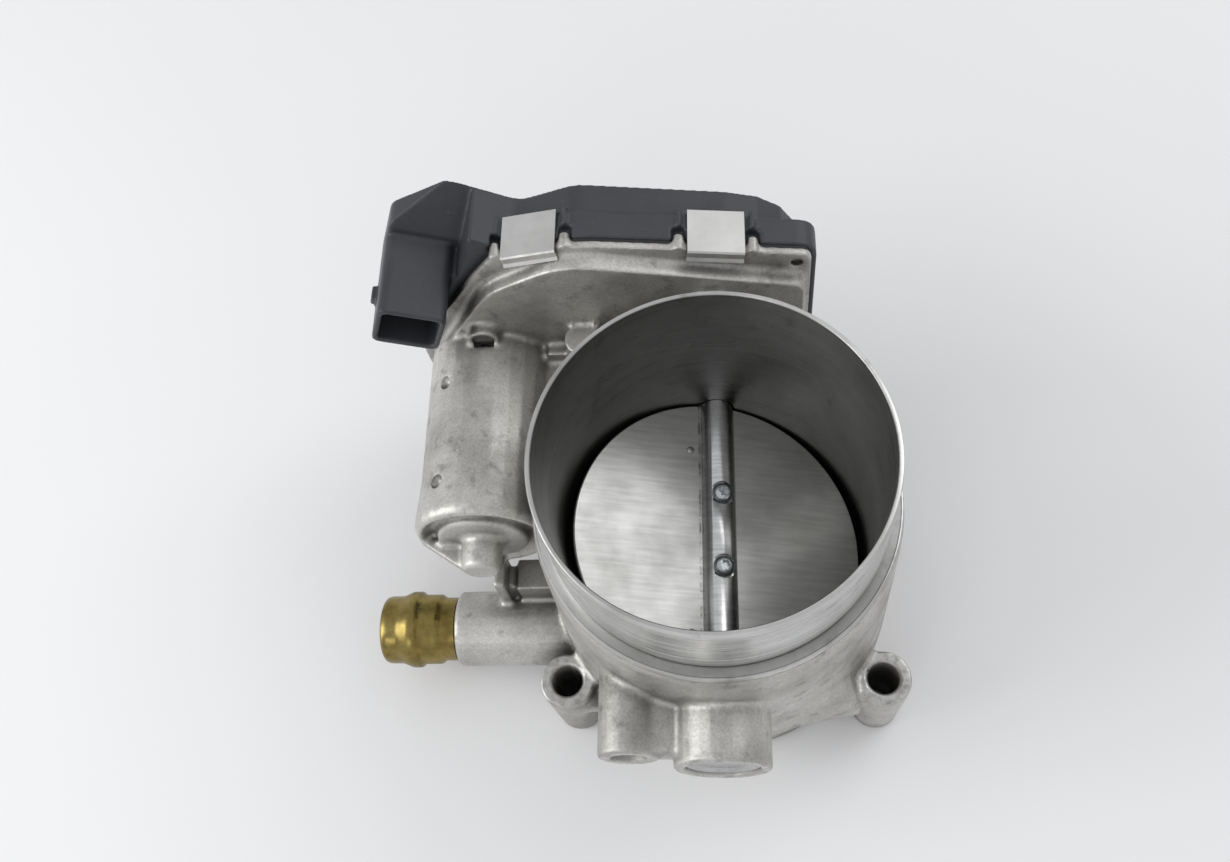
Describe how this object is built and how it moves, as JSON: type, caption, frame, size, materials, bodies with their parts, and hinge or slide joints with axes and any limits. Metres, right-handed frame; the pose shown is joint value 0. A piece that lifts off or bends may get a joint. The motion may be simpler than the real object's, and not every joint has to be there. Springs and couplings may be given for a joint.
{
  "type": "throttle body",
  "caption": "Electronic throttle body with a cast housing, a round bore closed by a plate on a cross shaft, a geared electric drive under a clipped cover, and a side hose nipple.",
  "frame": {"origin": "middle of the bounding box at the height of the mounting face, which is the base", "axes": "+Z along the bore towards the air inlet, +Y from the bore to the gear cover, -X towards the motor and the hose nipple"},
  "size_m": [0.1548, 0.1432, 0.1164],
  "materials": {
    "cast_aluminium": "as-cast, bead-blasted, machined on the collar, bore and seats",
    "plate_aluminium": "rolled satin sheet",
    "shaft_steel": "ground bar",
    "clip_steel": "bright spring strip",
    "screw_steel": "zinc plated",
    "bearing_steel": "ground",
    "motor_steel": "drawn can",
    "spring_wire": "oil-tempered wire",
    "nipple_brass": "turned, slightly tarnished",
    "contact_copper": "tinned copper alloy",
    "cover_plastic": "moulded glass-filled polyamide",
    "gear_plastic": "moulded",
    "seal_rubber": "moulded",
    "board_laminate": "laminate",
    "magnet_ferrite": "sintered"
  },
  "bodies": {
    "housing": {"throttle_body": "cast_aluminium", "hose_nipple": "nipple_brass", "bearing_end_plug": "bearing_steel", "needle_bearing_front": "bearing_steel", "shaft_seal_front": "seal_rubber", "shaft_seal_rear": "seal_rubber", "ball_bearing_rear": "bearing_steel", "return_spring": "spring_wire", "intermediate_pin": "shaft_steel", "motor_wave_washer": "clip_steel", "motor_can": "motor_steel", "motor_magnet_left": "magnet_ferrite", "motor_magnet_right": "magnet_ferrite", "motor_end_plate": "cover_plastic", "motor_screw_1": "screw_steel", "motor_screw_2": "screw_steel", "motor_terminal_1": "contact_copper", "motor_terminal_2": "contact_copper", "gear_cover": "cover_plastic", "cover_gasket": "seal_rubber", "sensor_board": "board_laminate", "connector_pin_1": "contact_copper", "connector_pin_2": "contact_copper", "connector_pin_3": "contact_copper", "connector_pin_4": "contact_copper", "connector_pin_5": "contact_copper", "connector_pin_6": "contact_copper", "clip_top_left": "clip_steel", "clip_top_right": "clip_steel", "clip_bottom_left": "clip_steel", "clip_bottom_right": "clip_steel"},
    "throttle": {"throttle_shaft": "shaft_steel", "throttle_plate": "plate_aluminium", "plate_screw_front": "screw_steel", "plate_screw_rear": "screw_steel", "spring_sleeve": "gear_plastic", "sector_gear": "gear_plastic", "gear_lock_washer": "bearing_steel", "sensor_rotor": "magnet_ferrite"},
    "intermediate": {"intermediate_gear": "gear_plastic"},
    "rotor": {"motor_rotor": "motor_steel", "motor_commutator": "contact_copper", "motor_pinion": "nipple_brass"}
  },
  "joints": [
    {"name": "throttle_turn", "type": "hinge", "parent": "housing", "child": "throttle", "pos_m": [0.0252, -0.00985, 0.057], "axis": [0, 1, 0], "range_deg": [-14.5, 69], "stiffness_Nm_per_rad": 0.12, "deforming": ["return_spring"]},
    {"name": "intermediate_turn", "type": "hinge", "parent": "housing", "child": "intermediate", "pos_m": [-0.01185, -0.00985, 0.06276], "axis": [0, 1, 0], "range_deg": [-255, 58]},
    {"name": "motor_turn", "type": "hinge", "parent": "housing", "child": "rotor", "pos_m": [-0.0398, -0.00985, 0.061], "axis": [0, 1, 0], "range_deg": [-260, 1215]}
  ],
  "couplings": [
    {"joint": "intermediate_turn", "follows": "throttle_turn", "ratio": -3.6154},
    {"joint": "motor_turn", "follows": "throttle_turn", "ratio": 17.474}
  ]
}
